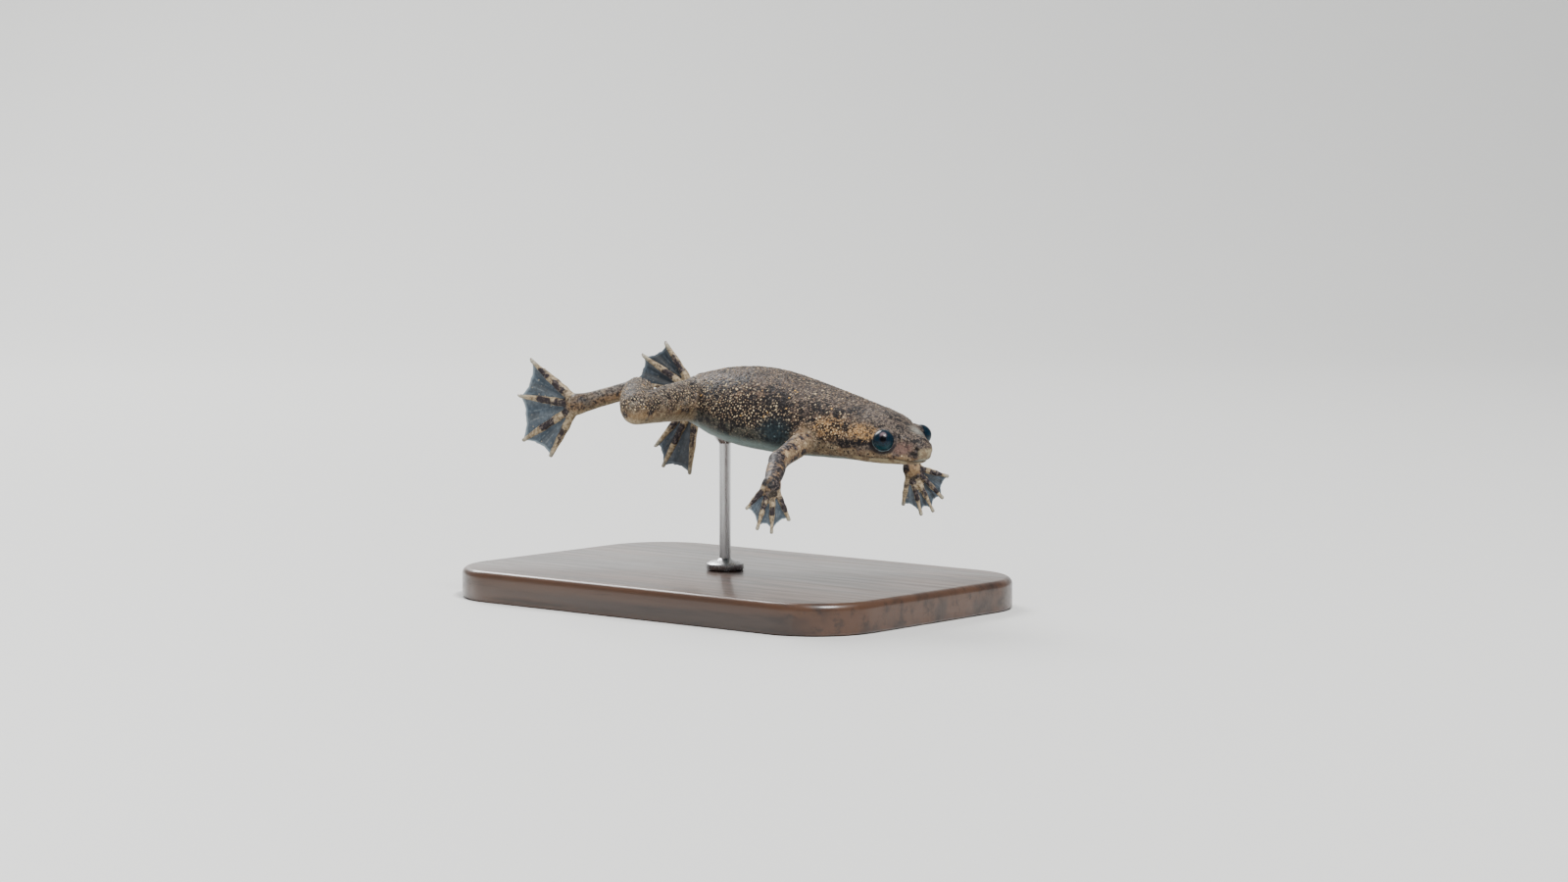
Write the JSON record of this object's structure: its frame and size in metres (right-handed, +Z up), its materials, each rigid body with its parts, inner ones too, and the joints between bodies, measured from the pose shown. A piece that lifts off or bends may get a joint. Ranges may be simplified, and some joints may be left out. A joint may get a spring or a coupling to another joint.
{
  "type": "dwarf clawed frog",
  "caption": "Still, life-size model of a dwarf clawed frog swimming with its webbed feet spread, held on one short rod over a flat base.",
  "frame": {"origin": "middle of the underside of the stand's flat base", "axes": "+X is ahead of the frog, +Y is to its left, +Z is up"},
  "size_m": [0.058, 0.038, 0.0284],
  "materials": {
    "body_skin": "granular damp skin, mauve-brown with dark and cream granules",
    "limb_skin": "fine damp skin, tan with dark blotches",
    "web_and_digits": "thin translucent slate-blue web between banded digits",
    "eye": "wet and glossy, dark blue-green iris with a black pupil",
    "claw": "pale horn, satin",
    "stand_base": "black lacquered wood, satin",
    "stand_rod": "brushed"
  },
  "bodies": {
    "root": {"head": "body_skin", "torso": "body_skin", "eye_left": "eye", "eye_right": "eye", "upper_arm_left": "limb_skin", "forearm_left": "limb_skin", "hand_left": "web_and_digits", "thigh_left": "limb_skin", "shank_left": "limb_skin", "tarsus_left": "limb_skin", "foot_left": "web_and_digits", "upper_arm_right": "limb_skin", "forearm_right": "limb_skin", "hand_right": "web_and_digits", "thigh_right": "limb_skin", "shank_right": "limb_skin", "tarsus_right": "limb_skin", "foot_right": "web_and_digits", "claw_left_1": "claw", "claw_left_2": "claw", "claw_left_3": "claw", "claw_right_1": "claw", "claw_right_2": "claw", "claw_right_3": "claw", "stand_base": "stand_base", "stand_rod": "stand_rod"}
  },
  "joints": []
}
